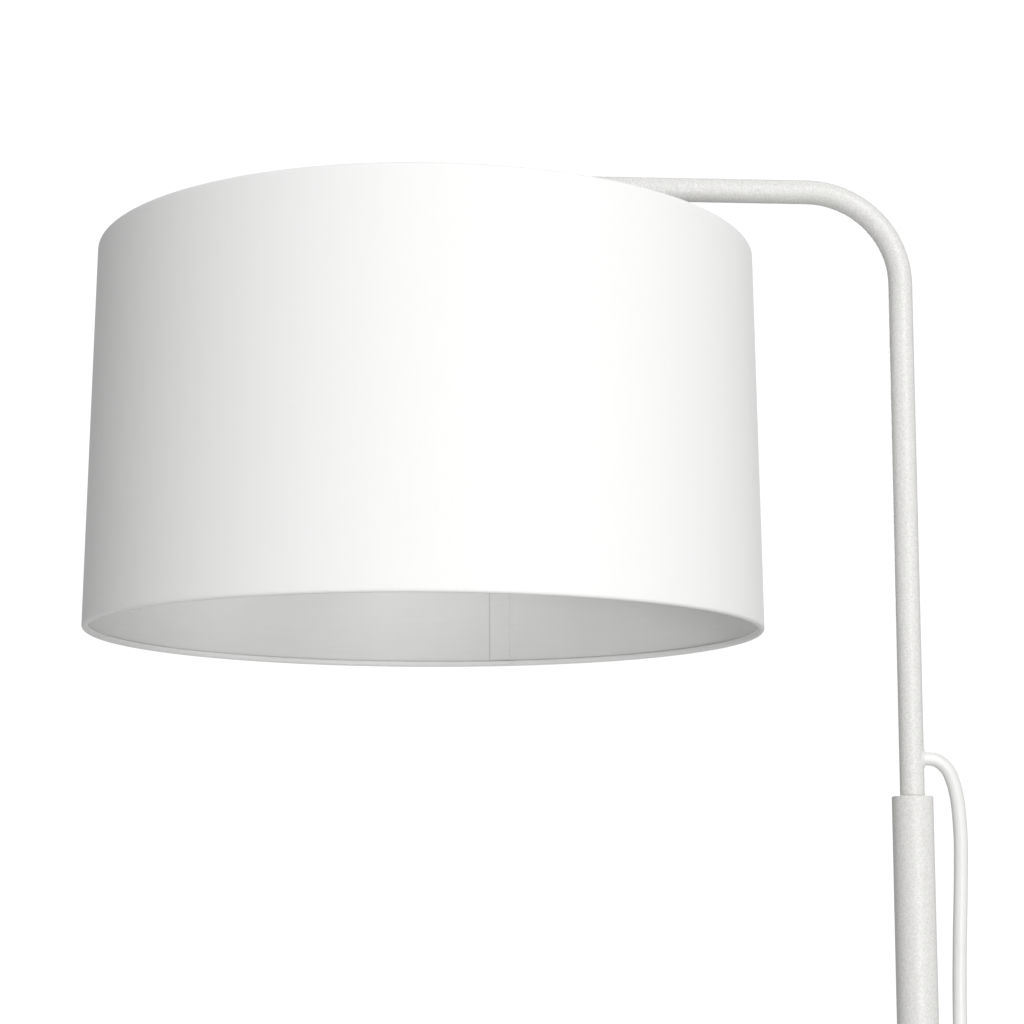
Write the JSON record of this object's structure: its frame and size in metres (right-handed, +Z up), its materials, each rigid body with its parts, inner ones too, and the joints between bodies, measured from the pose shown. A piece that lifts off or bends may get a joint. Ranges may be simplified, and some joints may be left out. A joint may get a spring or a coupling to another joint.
{
  "type": "arc floor lamp",
  "caption": "Floor lamp with a round weighted base, a slim pole, a turning bent arm over a hanging drum shade, a screw-in bulb, and a mains lead with a foot switch and plug.",
  "frame": {"origin": "on the pole's axis, on the floor under the middle of the base's pad", "axes": "+Z up along the pole, -X from the pole towards the shade, +Y to the back"},
  "size_m": [0.611, 0.4615, 1.5],
  "materials": {
    "white_powder_coat": "fine textured white powder coat",
    "base_rubber": "matte",
    "zinc_steel": "bright zinc plate",
    "nylon": "natural nylon",
    "cord_white": "satin white PVC",
    "wire_brown": "PVC insulation",
    "wire_blue": "PVC insulation",
    "wire_earth": "green PVC insulation with a yellow stripe",
    "holder_white": "satin moulded thermoset",
    "ceramic": "moulded insulating insert",
    "brass": "plain",
    "shade_fabric": "fine white weave",
    "shade_lining": "matt white lining",
    "bulb_opal": "opal diffuser",
    "bulb_body": "white moulding",
    "nickel": "nickel plate",
    "black_glass": "black insulator",
    "switch_white": "fine spark-eroded texture",
    "switch_grey": "satin",
    "boot_white": "soft moulded",
    "tie_white": "ribbed strap"
  },
  "bodies": {
    "stand": {"base_pad": "base_rubber", "base_plate": "white_powder_coat", "base_screw": "zinc_steel", "pole_foot_plug": "zinc_steel", "lower_pole": "white_powder_coat", "lower_joint_plug": "zinc_steel", "joint_stud": "zinc_steel", "upper_joint_plug": "zinc_steel", "upper_pole": "white_powder_coat", "lower_swivel_bush": "nylon", "upper_swivel_bush": "nylon", "cord_drop": "cord_white", "cord_link": "cord_white", "cord_coil": "cord_white", "cord_tail": "cord_white", "coil_tie": "tie_white", "switch_pad": "base_rubber", "switch_base": "switch_white", "switch_cover": "switch_white", "switch_module": "base_rubber", "switch_spring": "zinc_steel", "switch_screws": "zinc_steel", "switch_inlet_boot": "boot_white", "switch_outlet_boot": "boot_white", "plug_body": "switch_white", "plug_boot": "boot_white", "plug_pins": "nickel", "plug_earth_clips": "brass"},
    "arm": {"arm_tube": "white_powder_coat", "arm_foot": "nylon", "cord_grommet": "boot_white", "cord_entry": "cord_white", "live_wire": "wire_brown", "neutral_wire": "wire_blue", "earth_wire": "wire_earth", "holder_nipple": "zinc_steel", "earth_tag": "brass", "lock_nut": "zinc_steel", "holder_dome": "holder_white", "holder_skirt": "holder_white", "holder_insert": "ceramic", "screw_shell": "brass", "centre_contact": "brass", "shade_ring": "holder_white", "fitter_ring": "white_powder_coat", "shade_spokes": "white_powder_coat", "shade_top_wire": "white_powder_coat", "shade_bottom_wire": "white_powder_coat", "shade_fabric": "shade_fabric", "shade_backing": "shade_lining", "shade_seam": "shade_lining"},
    "bulb": {"bulb_globe": "bulb_opal", "bulb_housing": "bulb_body", "bulb_cap": "nickel", "bulb_insulator": "black_glass", "bulb_tip": "nickel"},
    "button": {"switch_button": "switch_grey"}
  },
  "joints": [
    {"name": "arm_swivel", "type": "hinge", "parent": "stand", "child": "arm", "pos_m": [0, 0, 1.17], "axis": [0, 0, 1], "range_deg": [-170, 170]},
    {"name": "bulb_removal", "type": "slide", "parent": "arm", "child": "bulb", "axis": [0, 0, -1], "range_m": [0, 0.04]},
    {"name": "foot_button", "type": "slide", "parent": "stand", "child": "button", "axis": [0, 0, -1], "range_m": [0, 0.003], "stiffness_N_per_m": 1500, "springref_m": -0.004, "deforming": ["switch_spring"]}
  ]
}
